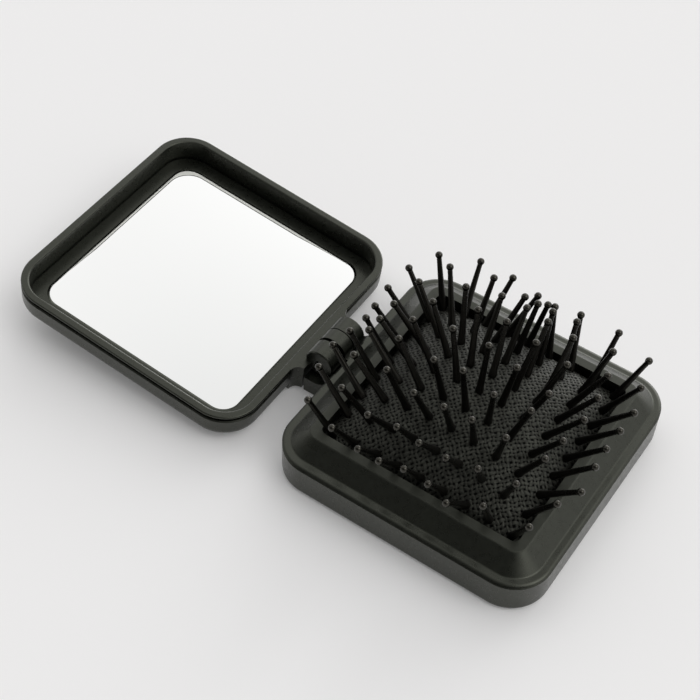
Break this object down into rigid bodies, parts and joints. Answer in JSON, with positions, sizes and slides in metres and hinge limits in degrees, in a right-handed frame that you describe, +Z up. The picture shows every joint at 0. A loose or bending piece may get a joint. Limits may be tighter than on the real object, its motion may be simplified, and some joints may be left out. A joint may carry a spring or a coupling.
{
  "type": "folding hairbrush with mirror",
  "caption": "Square folding pocket hairbrush: pop-up cushion of ball-tipped pins in the base, mirror in the hinged lid, shown open.",
  "frame": {"origin": "centre of the base's flat underside, on the surface it rests on", "axes": "+Z up, out of the brush; +X from the hinge across the base, so the opened lid lies towards -X; +Y along the hinge axis"},
  "size_m": [0.1537, 0.072, 0.0372],
  "materials": {
    "shell_plastic": "fine matte, dark green-grey",
    "frame_plastic": "fine matte, dark green-grey",
    "inner_plastic": "matte black-grey",
    "pin_steel": "drawn wire",
    "cushion_rubber": "knurled matte rubber",
    "bristle_nylon": "semi-gloss black nylon",
    "foam_tape": "white foam",
    "mirror_glass": "silvered float glass"
  },
  "bodies": {
    "base": {"base_shell": "shell_plastic", "brush_frame": "frame_plastic", "hinge_pin": "pin_steel"},
    "brush": {"pad_carrier": "inner_plastic", "push_plate": "inner_plastic", "pad_retainer": "inner_plastic", "cushion_pad": "cushion_rubber", "pin_row_1": "bristle_nylon", "pin_row_2": "bristle_nylon", "pin_row_3": "bristle_nylon", "pin_row_4": "bristle_nylon", "pin_row_5": "bristle_nylon", "pin_row_6": "bristle_nylon", "pin_row_7": "bristle_nylon", "pin_row_8": "bristle_nylon", "pin_row_9": "bristle_nylon"},
    "lid": {"lid_shell": "shell_plastic", "mirror_frame": "frame_plastic", "mirror_tape": "foam_tape", "mirror_glass": "mirror_glass"}
  },
  "joints": [
    {"name": "lid_hinge", "type": "hinge", "parent": "base", "child": "lid", "pos_m": [-0.0407, 0, 0.0095], "axis": [0, 1, 0], "range_deg": [0, 174.5]},
    {"name": "brush_slide", "type": "slide", "parent": "base", "child": "brush", "axis": [0, 0, 1], "range_m": [-0.0072, 0], "deforming": ["cushion_pad", "pin_row_1", "pin_row_2", "pin_row_3", "pin_row_4", "pin_row_5", "pin_row_6", "pin_row_7", "pin_row_8", "pin_row_9"]}
  ],
  "couplings": [
    {"joint": "brush_slide", "follows": "lid_hinge", "m_per_rad": -0.002364}
  ]
}
